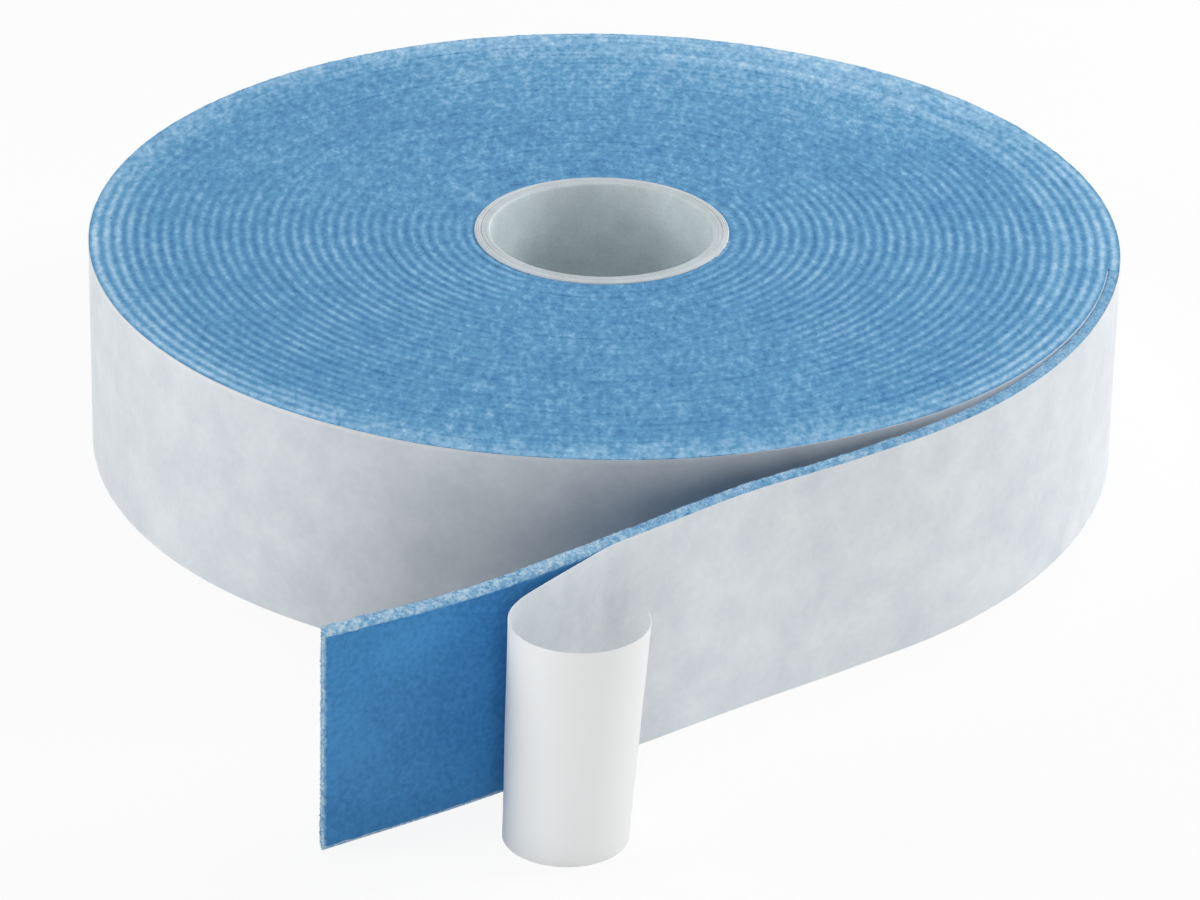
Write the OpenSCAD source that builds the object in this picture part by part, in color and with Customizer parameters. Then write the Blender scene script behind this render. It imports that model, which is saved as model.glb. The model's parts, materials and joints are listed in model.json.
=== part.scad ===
// Roll of self-adhesive foam strip lying on its side, with its tail pulled off and
// the paper liner peeled back from the end of the tail.
// The roll's axis is Z and its underside is at Z = 0.
// Seen from above, the winding grows clockwise.

/* [Strip] */
// Width of the strip, which is the height of the roll as it lies
strip_w = 50; // [20:1:100]
// Thickness of the foam where it hangs free
foam_t = 3.5; // [2.6:0.1:5]
// Thickness of the foam where the turns squeeze it
wound_foam_t = 2.35; // [1.5:0.05:2.5]
// Thickness of the adhesive film on the outer face of the foam
adhesive_t = 0.1; // [0.05:0.01:0.2]
// Thickness of the paper liner that covers the adhesive
liner_t = 0.14; // [0.08:0.01:0.25]

/* [Core] */
// Bore of the core tube
core_bore_d = 50.8; // [38:0.1:77]
// Thickness of the grey board plies
board_t = 2.1; // [1.2:0.1:4]
// Thickness of the white plies wrapped around the board
wrap_t = 1.4; // [0.4:0.1:2]

/* [Winding] */
// Number of turns on the core
turns = 33; // [8:1:40]
// Height of the step where the start of the strip is squeezed onto the core
start_t = 1.15; // [0.8:0.05:2]
// Angle at which the tail leaves the roll
leave_angle = -8; // [-60:1:30]
// Length of the double-sided tape that holds the start of the strip
start_tape_l = 20; // [8:1:40]
// Thickness of that tape
start_tape_t = 0.15; // [0.08:0.01:0.25]

/* [Tail] */
// Bend radius of the stretch that lifts off the roll
lift_r = 135.5; // [125:0.5:260]
// Angle that this stretch turns through
lift_angle = 43.5; // [25:0.5:60]
// Bend radius of the nearly straight stretch after it
run_r = 2500; // [1200:50:4000]
// Length of the nearly straight stretch
run_l = 150; // [110:1:200]
// Length at the end of the tail with its adhesive bare
bare_l = 69; // [40:1:80]

/* [Peeled liner] */
// Angle between the bare adhesive and the liner that lifts off it
peel_angle = 19; // [12:0.5:30]
// Length of the flat stretch of liner before its curl
lead_l = 30.5; // [15:0.5:38]
// Radius of the curl
curl_r = 13.5; // [9:0.5:18]
// Angle that the curl turns through
curl_angle = 235; // [120:1:240]

/* [Clearances] */
// Air between one layer and the next
layer_gap = 0.02; // [0.01:0.005:0.04]
// Gap under the tail where it leaves the roll
lift_gap = 0.4; // [0.35:0.05:0.6]
// Gap between the end of the winding and the start of the tail
leave_gap = 0.3; // [0.2:0.05:0.6]
// Gap between the two stretches of the tail, for bending both ways
bend_gap = 1; // [0.8:0.1:2]
// Distance from the peel line to the lifted liner
peel_gap = 1; // [0.6:0.1:2]

/* [Hidden] */

foam_colour = "#7AABD0";
adhesive_colour = "#417BAE";
liner_colour = "#DFE3E6";
wrap_colour = "#C6CED3";
board_colour = "#9BA7AB";
tape_colour = "#E8E2CC";

// Sides of the facets on round faces, and on the nearly straight stretch
$fn = 180;
run_fn = 1440;
// Overshoot of a cut past the face that it opens
cut = 1;

bore_r = core_bore_d / 2;
board_r = bore_r + board_t;
core_r = board_r + wrap_t;

function direction(a) = [cos(a), sin(a)];
function arc_degrees(length, r) = length / r * 180 / PI;

// Distances from the foam's inner face out to the adhesive, to the liner and to the next turn
adhesive_off = wound_foam_t + layer_gap;
liner_off = adhesive_off + adhesive_t + layer_gap;
pitch = liner_off + liner_t + layer_gap;

// Radius of the foam's inner face at the start, before it is squeezed onto the core
first_r = core_r + start_t - pitch;
// Radius of the liner's outer face where the tail leaves
roll_r = first_r + turns * pitch + liner_off + liner_t;

// Outer radius of the tape under the start of the strip, and the angle that it covers
tape_r = core_r + layer_gap + start_tape_t;
tape_angle = arc_degrees(start_tape_l, core_r);

// Depths below the liner's outer face along the tail
adhesive_depth = liner_t + layer_gap;
foam_depth = adhesive_depth + adhesive_t + layer_gap;
tail_depth = foam_depth + foam_t;

// Stretch that lifts off the roll, tangent to the winding
lift_c = (roll_r - lift_r) * direction(leave_angle);
lift_from = leave_angle - arc_degrees(leave_gap, lift_r);
bend_angle = leave_angle - lift_angle;
bend_p = lift_c + lift_r * direction(bend_angle);
lift_to = bend_angle + arc_degrees(bend_gap / 2, lift_r);

// The squeezed foam recovers its thickness along that stretch, so its inner face is a
// circle about a shifted centre
leave_depth = pitch - lift_gap;
recover = tail_depth - leave_depth;
inner_c = lift_c + recover / (2 * sin(lift_angle / 2)) * direction(leave_angle - lift_angle / 2 + 90);
inner_r = lift_r - (leave_depth + tail_depth) / 2;

// Nearly straight stretch, tangent to the one before it
run_c = bend_p - run_r * direction(bend_angle);
run_from = bend_angle - arc_degrees(bend_gap / 2, run_r);
run_to = bend_angle - arc_degrees(run_l, run_r);

// Line where the liner leaves the adhesive
peel_at = bend_angle - arc_degrees(run_l - bare_l, run_r);
peel_p = run_c + (run_r - adhesive_depth) * direction(peel_at);
peel_heading = peel_at - 90 + peel_angle;

// Upright tube from the floor to the top of the strip
module tube(r_in, r_out) {
  difference() {
    cylinder(h = strip_w, r = r_out);
    translate([0, 0, -cut])
      cylinder(h = strip_w + 2 * cut, r = r_in);
  }
}

// Upright piece of a ring of thickness t inside radius r, between two angles
module ring_piece(r, t, low, high) {
  rotate(low)
    rotate_extrude(angle = high - low)
      translate([r - t, 0])
        square([t, strip_w]);
}

// One layer of the winding, made of half turns about two centres a quarter pitch off the axis
module wound_layer(off, t) {
  rotate(leave_angle)
    for (half = [0 : 2 * turns - 1]) {
      side = half % 2 == 0 ? -1 : 1;
      r = first_r + pitch / 4 + half * pitch / 2 + off;
      translate([side * pitch / 4, 0, 0])
        rotate(side < 0 ? 180 : 0)
          ring_piece(r + t, t, 0, 180);
    }
}

// One layer of the stretch that lifts off the roll
module lift_layer(depth, t) {
  translate(lift_c)
    ring_piece(lift_r - depth, t, lift_to, lift_from);
}

// One layer of the nearly straight stretch, from the bend to the given angle
module run_layer(depth, t, low) {
  translate(run_c)
    ring_piece(run_r - depth, t, low, run_from, $fn = run_fn);
}

// Space that the core and the tape take out of the first turn
module start_space() {
  translate([0, 0, -cut])
    cylinder(h = strip_w + 2 * cut, r = core_r + layer_gap);
  translate([0, 0, -cut])
    rotate(leave_angle - tape_angle)
      rotate_extrude(angle = tape_angle + arc_degrees(cut, core_r))
        square([tape_r + layer_gap, strip_w + 2 * cut]);
}

// Grey board tube whose bore takes a spindle
module core_board() {
  color(board_colour)
    tube(bore_r, board_r);
}

// White plies around the board
module core_wrap() {
  color(wrap_colour)
    tube(board_r, core_r);
}

// Tape that holds the start of the strip on the core
module start_tape() {
  color(tape_colour)
    ring_piece(tape_r, start_tape_t, leave_angle - tape_angle, leave_angle);
}

// Foam of the winding
module wound_foam() {
  color(foam_colour)
    difference() {
      wound_layer(0, wound_foam_t);
      start_space();
    }
}

// Adhesive film of the winding
module wound_adhesive() {
  color(adhesive_colour)
    wound_layer(adhesive_off, adhesive_t);
}

// Paper liner of the winding
module wound_liner() {
  color(liner_colour)
    wound_layer(liner_off, liner_t);
}

// Foam that lifts off the roll and thickens as it comes free
module tail_foam() {
  color(foam_colour)
    difference() {
      lift_layer(foam_depth, foam_t + recover);
      translate([inner_c[0], inner_c[1], -cut])
        cylinder(h = strip_w + 2 * cut, r = inner_r);
    }
}

// Adhesive film on that foam
module tail_adhesive() {
  color(adhesive_colour)
    lift_layer(adhesive_depth, adhesive_t);
}

// Paper liner on that film
module tail_liner() {
  color(liner_colour)
    lift_layer(0, liner_t);
}

// Foam of the nearly straight stretch, out to the end of the strip
module end_foam() {
  color(foam_colour)
    run_layer(foam_depth, foam_t, run_to);
}

// Adhesive film on that foam, bare past the peel line
module end_adhesive() {
  color(adhesive_colour)
    run_layer(adhesive_depth, adhesive_t, run_to);
}

// Paper liner on that film, as far as the peel line
module end_liner() {
  color(liner_colour)
    run_layer(0, liner_t, peel_at);
}

// Peeled liner, flat at first and then curled back towards the roll
module peeled_liner() {
  color(liner_colour)
    translate(peel_p)
      rotate(peel_heading) {
        translate([peel_gap, 0, 0])
          cube([lead_l - peel_gap, liner_t, strip_w]);
        translate([lead_l, curl_r, 0])
          ring_piece(curl_r, liner_t, -90, curl_angle - 90);
      }
}

core_board();
core_wrap();
start_tape();
wound_foam();
wound_adhesive();
wound_liner();
tail_foam();
tail_adhesive();
tail_liner();
end_foam();
end_adhesive();
end_liner();
peeled_liner();
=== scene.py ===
"""Roll of self-adhesive foam strip with its tail pulled off and its liner peeled back."""

import json
import math

import bpy
import numpy as np
from bpy.props import FloatProperty, FloatVectorProperty, IntProperty, PointerProperty
from mathutils import Matrix, Vector, noise


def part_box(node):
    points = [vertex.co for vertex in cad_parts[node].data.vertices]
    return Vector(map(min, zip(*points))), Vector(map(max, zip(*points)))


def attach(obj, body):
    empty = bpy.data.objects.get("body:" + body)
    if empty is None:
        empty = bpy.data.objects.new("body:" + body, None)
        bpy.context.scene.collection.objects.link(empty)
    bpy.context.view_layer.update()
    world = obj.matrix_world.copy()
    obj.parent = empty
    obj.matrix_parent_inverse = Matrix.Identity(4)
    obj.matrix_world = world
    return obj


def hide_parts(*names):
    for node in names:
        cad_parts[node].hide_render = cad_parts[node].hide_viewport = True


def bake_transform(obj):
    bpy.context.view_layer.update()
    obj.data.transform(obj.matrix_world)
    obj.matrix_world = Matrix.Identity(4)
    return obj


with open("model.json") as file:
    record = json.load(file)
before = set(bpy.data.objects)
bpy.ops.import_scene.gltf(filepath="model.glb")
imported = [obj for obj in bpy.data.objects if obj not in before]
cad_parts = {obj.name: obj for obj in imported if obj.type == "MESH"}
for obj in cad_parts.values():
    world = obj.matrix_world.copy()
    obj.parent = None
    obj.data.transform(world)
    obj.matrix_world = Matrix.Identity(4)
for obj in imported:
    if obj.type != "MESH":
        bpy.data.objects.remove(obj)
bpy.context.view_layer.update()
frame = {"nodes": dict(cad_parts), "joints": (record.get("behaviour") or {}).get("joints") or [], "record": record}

bl_info = {
    "name": "Foam strip roll",
    "version": (1, 0, 0),
    "blender": (4, 5, 0),
    "location": "View3D > Sidebar > Foam roll",
    "description": "Builds the looks of a roll of self-adhesive foam strip around its solids",
    "category": "Object",
}

MM = 0.001
JOINT_AT = {joint["name"]: Vector(joint["pos_m"]) for joint in frame["joints"]}
MOUNTS = {mount["name"]: mount for mount in frame["record"]["mounts"]}


def linear(code):
    """Linear colour of an sRGB hex code."""
    parts = [int(code[i:i + 2], 16) / 255 for i in (1, 3, 5)]
    return [c / 12.92 if c <= 0.04045 else ((c + 0.055) / 1.055) ** 2.4 for c in parts]


def length_prop(label, text, mm):
    """A length that the user can change, given in millimetres."""
    return FloatProperty(name=label, description=text, default=mm * MM, unit="LENGTH", precision=5)


def colour_prop(label, text, code):
    """A colour that the user can change, given as an sRGB hex code."""
    return FloatVectorProperty(
        name=label, description=text, default=linear(code), subtype="COLOR", min=0, max=1)


class StripSizes(bpy.types.PropertyGroup):
    """Sizes of the strip, its winding and its core."""

    width: FloatProperty(
        name="Strip width", description="Height of the roll as it lies",
        default=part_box("wound_foam")[1].z, unit="LENGTH")
    bore: FloatProperty(
        name="Bore radius", description="Inside radius of the core tube",
        default=MOUNTS["core_bore"]["dims"]["r_mm"] * MM, unit="LENGTH")
    board: FloatProperty(
        name="Board radius", description="Outside radius of the grey board",
        default=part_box("core_board")[1].x, unit="LENGTH")
    core: FloatProperty(
        name="Core radius", description="Outside radius of the core tube",
        default=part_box("core_wrap")[1].x, unit="LENGTH")
    wound_foam: length_prop("Wound foam", "Thickness of the foam that the turns squeeze", 2.35)
    free_foam: length_prop("Free foam", "Thickness of the foam on the tail", 3.5)
    film: length_prop("Film", "Thickness of the adhesive film", 0.1)
    liner: length_prop("Liner", "Thickness of the paper liner", 0.14)
    gap: length_prop("Layer gap", "Air between one layer and the next", 0.02)
    turns: IntProperty(name="Turns", description="Turns on the core", default=33, min=8, max=40)


class TailSizes(bpy.types.PropertyGroup):
    """Sizes of the tail and of its peeled liner."""

    lift_r: length_prop("Lift radius", "Bend radius of the stretch that lifts off the roll", 135.5)
    run_r: length_prop("Run radius", "Bend radius of the nearly straight stretch", 2500)
    run: length_prop("Run", "Length of the nearly straight stretch", 150)
    bare: length_prop("Bare adhesive", "Length of the tail with its adhesive bare", 69)
    flap: length_prop("Peeled length", "Length of the liner past the peel line", 86)
    lead_top: length_prop("Lead at top", "Flat length before the curl, along the top edge", 28.9)
    lead_bottom: length_prop("Lead at bottom", "Flat length before the curl, along the bottom edge", 29.7)
    curl_top: length_prop("Curl radius at top", "Radius of the curl along its top edge", 14.1)
    curl_bottom: length_prop("Curl radius at bottom", "Radius of the curl along its bottom edge", 12.7)
    bow_out: length_prop("Bow out", "How far the top edge bows out past the peel line", 3.3)
    bow_in: length_prop("Bow in", "How far the top edge bows in before the peel line", 1.6)
    peel: FloatProperty(
        name="Peel angle", description="Angle between the film and the liner that lifts off it",
        default=math.radians(16.0), unit="ROTATION")


class RollColours(bpy.types.PropertyGroup):
    """Colours of the foam, the film, the paper and the core."""

    foam_torn: colour_prop("Foam, torn", "Torn cells that stand proud of a cut edge", "#CBE3F2")
    # Foam, light and Foam, dark also serve as the painted highlight on the crests and the painted shade in the
    # creases between turns
    foam_light: colour_prop("Foam, light", "Crest of a turn", "#95C5E6")
    foam_mid: colour_prop("Foam", "Body of the foam", "#5C9ECB")
    foam_dark: colour_prop("Foam, dark", "Open cells and the creases between turns", "#357AB1")
    # Darker, greyer blue for the tail's inner face, which keeps the light it bounces into the gap between the tail
    # and the roll from tinting the shade there blue
    foam_inner: colour_prop("Foam, inner", "Pressed inner face of the strip", "#355F83")
    film: colour_prop("Film", "Foam seen through the adhesive film", "#4A94CF")
    film_dark: colour_prop("Film, dark", "Mottling of the adhesive film", "#397FB9")
    liner: colour_prop("Liner", "Outer face of the release paper", "#EBF0F3")
    liner_dark: colour_prop("Liner, dark", "Clouding of the outer face", "#DBE2E7")
    liner_release: colour_prop("Liner, release face", "Coated face that lay on the film", "#FAFBFB")
    plies: colour_prop("White plies", "Paper plies around the core", "#D7DEE1")
    board: colour_prop("Grey board", "Board plies of the core", "#CAD3D6")
    lining: colour_prop("Core lining", "Innermost ply of the core", "#DCE7E9")
    tape: colour_prop("Tape", "Double-sided tape under the start of the strip", "#E8E2CC")


def add(tree, kind, settings=None, inputs=None):
    """Adds a node with its settings. Inputs that are nodes or sockets are linked, others are values."""
    made = tree.nodes.new(kind)
    for key, value in (settings or {}).items():
        setattr(made, key, value)
    for key, value in (inputs or {}).items():
        if isinstance(value, bpy.types.Node):
            value = value.outputs[0]
        if isinstance(value, bpy.types.NodeSocket):
            tree.links.new(value, made.inputs[key])
        else:
            made.inputs[key].default_value = value
    return made


def new_material(name):
    """A material with an empty node tree, and that tree."""
    made = bpy.data.materials.new(name)
    made.use_nodes = True
    made.node_tree.nodes.clear()
    return made, made.node_tree


def rgba(colour):
    """A colour property as the four numbers that a colour socket takes."""
    return (*colour, 1)


def foam_material(colours):
    """Open-cell foam, cut: specks of torn cells, rings of painted highlight and shade plainest at the sides of the
    roll, a painted highlight near the rim, and no gloss.
    """
    made, tree = new_material("Open-cell foam")
    across = add(tree, "ShaderNodeAttribute", {"attribute_name": "across"}).outputs["Fac"]
    fluff = add(tree, "ShaderNodeAttribute", {"attribute_name": "fluff"}).outputs["Fac"]
    place = add(tree, "ShaderNodeTexCoord").outputs["Object"]

    # Specks and flecks of torn cells, drawn coarse enough to show, the specks longer from front to back
    drawn = add(tree, "ShaderNodeVectorMath", {"operation": "MULTIPLY"}, {0: place, 1: (1, 0.45, 1)})
    speck = add(tree, "ShaderNodeTexNoise", None, {
        "Vector": drawn, "Scale": 1 / (1.5 * MM), "Detail": 1.5, "Roughness": 0.6})
    fleck = add(tree, "ShaderNodeTexNoise", None, {
        "Vector": place, "Scale": 1 / (0.8 * MM), "Detail": 1.5, "Roughness": 0.6})
    patch = add(tree, "ShaderNodeTexNoise", None, {
        "Vector": place, "Scale": 1 / (14 * MM), "Detail": 2.0})

    # How near a point is to each side, by its direction in degrees and the cosines of its edge and core
    flat = add(tree, "ShaderNodeVectorMath", {"operation": "MULTIPLY"}, {0: place, 1: (1, 1, 0)})
    radius = add(tree, "ShaderNodeVectorMath", {"operation": "LENGTH"}, {0: flat}).outputs["Value"]
    outward = add(tree, "ShaderNodeVectorMath", {"operation": "NORMALIZE"}, {0: flat})
    sides = {
        "right": (-13, 0.64, 0.92), "left": (203, 0.72, 0.95),
        "proud": (35, 0.2, 0.7), "back": (78, 0.55, 0.95)}
    near = {}
    for side, (degrees, edge, core) in sides.items():
        middle = (math.cos(math.radians(degrees)), math.sin(math.radians(degrees)), 0)
        toward = add(tree, "ShaderNodeVectorMath", {"operation": "DOT_PRODUCT"}, {0: outward, 1: middle})
        near[side] = add(tree, "ShaderNodeMapRange", {"interpolation_type": "SMOOTHSTEP"}, {
            "Value": toward.outputs["Value"], "From Min": edge, "From Max": core})

    # Painted shading of the rings: plain at the right and the left, faint elsewhere
    faint = 0.12
    ring_shade_share = add(tree, "ShaderNodeMath", {"operation": "MAXIMUM"}, {0: near["right"], 1: near["left"]})
    ring_shade_share = add(tree, "ShaderNodeMath", {"operation": "MULTIPLY_ADD"}, {
        0: ring_shade_share, 1: 1 - faint, 2: faint})

    # Painted highlight along the middle of each turn and painted shade in the creases beside it, stronger near the
    # rim
    body = 0.385
    crest_and_crease_shading = across
    for operation, value in (("MULTIPLY", math.pi), ("SINE", 0.0), ("POWER", 2.0), ("SUBTRACT", 0.5)):
        crest_and_crease_shading = add(tree, "ShaderNodeMath", {"operation": operation}, {0: crest_and_crease_shading, 1: value})
    force = add(tree, "ShaderNodeMapRange", None, {
        "Value": patch, "From Min": 0.3, "From Max": 0.7, "To Min": 0.22, "To Max": 0.38})
    stronger_near_rim = add(tree, "ShaderNodeMapRange", {"interpolation_type": "SMOOTHSTEP"}, {
        "Value": radius, "From Min": 95 * MM, "From Max": 113 * MM, "To Min": 1.0, "To Max": 1.25})
    for share in (ring_shade_share, stronger_near_rim):
        force = add(tree, "ShaderNodeMath", {"operation": "MULTIPLY"}, {0: force, 1: share})
    tone = add(tree, "ShaderNodeMath", {"operation": "MULTIPLY_ADD"}, {0: crest_and_crease_shading, 1: force, 2: body})

    # The roll pales toward its back and all round near its rim, and a painted highlight on an arc of turns at the
    # back right stands in for light caught by a few turns that stand proud
    glint_at = 104 * MM
    pale = add(tree, "ShaderNodeMapRange", {"interpolation_type": "SMOOTHSTEP"}, {
        "Value": radius, "From Min": 60 * MM, "From Max": 100 * MM, "To Max": 0.12})
    rim = add(tree, "ShaderNodeMapRange", {"interpolation_type": "SMOOTHSTEP"}, {
        "Value": radius, "From Min": 103 * MM, "From Max": 114 * MM, "To Max": 0.19})
    off = add(tree, "ShaderNodeMath", {"operation": "SUBTRACT"}, {0: radius, 1: glint_at})
    off = add(tree, "ShaderNodeMath", {"operation": "ABSOLUTE"}, {0: off})
    # Painted highlight on an arc of turns at the back right
    proud = add(tree, "ShaderNodeMapRange", {"interpolation_type": "SMOOTHSTEP"}, {
        "Value": off, "From Min": 4 * MM, "From Max": 0.0, "To Max": 0.18})
    for paler, where in ((pale, near["back"]), (rim, 1.0), (proud, near["proud"])):
        tone = add(tree, "ShaderNodeMath", {"operation": "MULTIPLY_ADD"}, {0: paler, 1: where, 2: tone})

    # Specks all over, finer flecks that are plainest where the cut is torn, and broad patches
    speck_gain = add(tree, "ShaderNodeMath", {"operation": "MULTIPLY_ADD"}, {0: ring_shade_share, 1: -0.3, 2: 0.86})
    fleck_gain = add(tree, "ShaderNodeMath", {"operation": "MULTIPLY_ADD"}, {0: fluff, 1: 0.85, 2: 0.36})
    for pattern, gain in ((speck, speck_gain), (fleck, fleck_gain), (patch, 0.2)):
        swing = add(tree, "ShaderNodeMath", {"operation": "SUBTRACT"}, {0: pattern, 1: 0.5})
        tone = add(tree, "ShaderNodeMath", {"operation": "MULTIPLY_ADD"}, {0: swing, 1: gain, 2: tone})
    tone = add(tree, "ShaderNodeMath", {"operation": "MULTIPLY_ADD"}, {0: fluff, 1: 0.26, 2: tone})
    # The ramp's light and dark ends also carry the painted highlight on the crests and the painted shade in the
    # creases
    blue = add(tree, "ShaderNodeValToRGB", None, {"Fac": tone})
    stops = blue.color_ramp.elements
    stops[0].position, stops[0].color = 0.1, rgba(colours.foam_dark)
    stops[1].position, stops[1].color = 1.0, rgba(colours.foam_torn)
    for position, colour in ((0.45, colours.foam_mid), (0.75, colours.foam_light)):
        stops.new(position).color = rgba(colour)

    # The inner face of the tail, marked by a negative fluff, takes a darker, greyer blue that keeps the shade in
    # the gap between the tail and the roll dark and grey
    inner = add(tree, "ShaderNodeMapRange", None, {
        "Value": fluff, "From Min": 0.0, "From Max": -1.0, "To Max": 0.8})
    shade = add(tree, "ShaderNodeMix", {"data_type": "RGBA"}, {
        0: inner, 6: blue, 7: rgba(colours.foam_inner)})
    bump = add(tree, "ShaderNodeBump", None, {
        "Height": fleck, "Strength": 0.35, "Distance": 0.3 * MM})
    foam = add(tree, "ShaderNodeBsdfPrincipled", None, {
        "Base Color": shade.outputs[2], "Roughness": 0.95, "Specular IOR Level": 0.15,
        "Sheen Weight": 0.15, "Normal": bump})
    add(tree, "ShaderNodeOutputMaterial", None, {"Surface": foam})
    return made


def film_material(colours):
    """Acrylic adhesive film on foam: a tacky skin that darkens the foam and thins out at its edge."""
    made, tree = new_material("Acrylic adhesive film")
    place = add(tree, "ShaderNodeTexCoord").outputs["Object"]

    # Cells of the foam under the film, drawn coarse enough to show, and broad clouds
    cells = add(tree, "ShaderNodeTexNoise", None, {
        "Vector": place, "Scale": 1 / (1.2 * MM), "Detail": 2.0, "Roughness": 0.6})
    cloud = add(tree, "ShaderNodeTexNoise", None, {
        "Vector": place, "Scale": 1 / (18 * MM), "Detail": 2.0})
    tone = add(tree, "ShaderNodeMath", {"operation": "MULTIPLY_ADD"}, {0: cells, 1: 1.5, 2: cloud})
    fac = add(tree, "ShaderNodeMapRange", None, {
        "Value": tone, "From Min": 0.95, "From Max": 1.55})
    blue = add(tree, "ShaderNodeMix", {"data_type": "RGBA"}, {
        0: fac, 6: rgba(colours.film_dark), 7: rgba(colours.film)})

    # The film thins out raggedly along its edge, where the lighter foam shows through
    rim = add(tree, "ShaderNodeAttribute", {"attribute_name": "rim"}).outputs["Fac"]
    torn = add(tree, "ShaderNodeMath", {"operation": "MULTIPLY_ADD"}, {0: cells, 1: 1.1, 2: rim})
    thin = add(tree, "ShaderNodeMapRange", {"interpolation_type": "SMOOTHSTEP"}, {
        "Value": torn, "From Min": 0.85, "From Max": 1.5})
    faded = add(tree, "ShaderNodeMix", {"data_type": "RGBA"}, {
        0: thin, 6: blue.outputs[2], 7: rgba(colours.foam_light)})
    bump = add(tree, "ShaderNodeBump", None, {
        "Height": cells, "Strength": 0.35, "Distance": 0.15 * MM})
    film = add(tree, "ShaderNodeBsdfPrincipled", None, {
        "Base Color": faded.outputs[2], "Roughness": 0.6, "Specular IOR Level": 0.25, "Normal": bump})
    add(tree, "ShaderNodeOutputMaterial", None, {"Surface": film})
    return made


def liner_material(colours, width):
    """Silicone release paper: satin, clouded by its pulp, whiter on its coated face and in a band along the top of
    the last turn.
    """
    made, tree = new_material("Silicone release paper")
    place = add(tree, "ShaderNodeTexCoord").outputs["Object"]

    # Clouds of pulp, and fibres drawn coarse enough to show
    cloud = add(tree, "ShaderNodeTexNoise", None, {
        "Vector": place, "Scale": 1 / (11 * MM), "Detail": 3.0, "Roughness": 0.55})
    fibre = add(tree, "ShaderNodeTexNoise", None, {
        "Vector": place, "Scale": 1 / (1.5 * MM), "Detail": 2.0})
    tone = add(tree, "ShaderNodeMath", {"operation": "MULTIPLY_ADD"}, {0: fibre, 1: 0.35, 2: cloud})
    fac = add(tree, "ShaderNodeMapRange", None, {
        "Value": tone, "From Min": 0.45, "From Max": 0.9})
    white = add(tree, "ShaderNodeMix", {"data_type": "RGBA"}, {
        0: fac, 6: rgba(colours.liner_dark), 7: rgba(colours.liner)})

    # The coated inner face is whiter, and so is a band along the top of the last turn
    level = add(tree, "ShaderNodeSeparateXYZ", None, {0: place}).outputs["Z"]
    lip = add(tree, "ShaderNodeMapRange", {"interpolation_type": "SMOOTHSTEP"}, {
        "Value": level, "From Min": width - 1.4 * MM, "From Max": width - 0.5 * MM})
    last_turn_share = add(tree, "ShaderNodeAttribute", {"attribute_name": "fluff"}).outputs["Fac"]
    lip = add(tree, "ShaderNodeMath", {"operation": "MULTIPLY"}, {0: lip, 1: last_turn_share})
    across = add(tree, "ShaderNodeAttribute", {"attribute_name": "across"}).outputs["Fac"]
    coated = add(tree, "ShaderNodeMath", {"operation": "SUBTRACT"}, {0: 1.0, 1: across})
    coated = add(tree, "ShaderNodeMath", {"operation": "MAXIMUM"}, {0: coated, 1: lip})
    sided = add(tree, "ShaderNodeMix", {"data_type": "RGBA"}, {
        0: coated, 6: white.outputs[2], 7: rgba(colours.liner_release)})
    bump = add(tree, "ShaderNodeBump", None, {
        "Height": fibre, "Strength": 0.15, "Distance": 0.05 * MM})
    paper = add(tree, "ShaderNodeBsdfPrincipled", None, {
        "Base Color": sided.outputs[2], "Roughness": 0.5, "Specular IOR Level": 0.3, "Normal": bump})
    add(tree, "ShaderNodeOutputMaterial", None, {"Surface": paper})
    return made


def board_material(name, colour, fibre_mm, lining=None, bore=0.0):
    """Spiral-wound paper board: matt, pulp fibres that lighten and darken it, and a paler lining ply."""
    made, tree = new_material(name)
    place = add(tree, "ShaderNodeTexCoord").outputs["Object"]

    # Pulp fibres, drawn coarse enough to show, and clouds
    fibre = add(tree, "ShaderNodeTexNoise", None, {
        "Vector": place, "Scale": 1 / (fibre_mm * MM), "Detail": 4, "Roughness": 0.65})
    cloud = add(tree, "ShaderNodeTexNoise", None, {
        "Vector": place, "Scale": 1 / (7 * MM), "Detail": 2})
    tone = add(tree, "ShaderNodeMath", {"operation": "ADD"}, {0: fibre, 1: cloud})
    shade = add(tree, "ShaderNodeMapRange", None, {
        "Value": tone, "From Min": 0.7, "From Max": 1.3, "To Min": 0.88, "To Max": 1.06})

    # The lining ply is told from the board by its distance from the axis
    flat = add(tree, "ShaderNodeVectorMath", {"operation": "MULTIPLY"}, {0: place, 1: (1, 1, 0)})
    radius = add(tree, "ShaderNodeVectorMath", {"operation": "LENGTH"}, {0: flat}).outputs["Value"]
    ply = add(tree, "ShaderNodeMapRange", None, {
        "Value": radius, "From Min": bore + 0.2 * MM, "From Max": bore + 0.4 * MM})
    plain = add(tree, "ShaderNodeMix", {"data_type": "RGBA"}, {
        0: ply, 6: rgba(lining or colour), 7: rgba(colour)})
    grey = add(tree, "ShaderNodeMix", {"data_type": "RGBA", "blend_type": "MULTIPLY"}, {
        0: 1.0, 6: plain.outputs[2], 7: shade})
    bump = add(tree, "ShaderNodeBump", None, {
        "Height": fibre, "Strength": 0.4, "Distance": 0.08 * MM})
    board = add(tree, "ShaderNodeBsdfPrincipled", None, {
        "Base Color": grey.outputs[2], "Roughness": 0.85, "Specular IOR Level": 0.2, "Normal": bump})
    add(tree, "ShaderNodeOutputMaterial", None, {"Surface": board})
    return made


def stocked(name, maker, *arguments):
    """The material of that name, made the first time that it is asked for."""
    return bpy.data.materials.get(name) or maker(*arguments)


def new_piece(name, points, faces, material):
    """A mesh object at the origin with one material."""
    mesh = bpy.data.meshes.new(name)
    mesh.from_pydata(points.tolist(), [], faces)
    mesh.materials.append(material)
    mesh.shade_smooth()
    piece = bpy.data.objects.new(name, mesh)
    bpy.context.scene.collection.objects.link(piece)
    return piece


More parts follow.
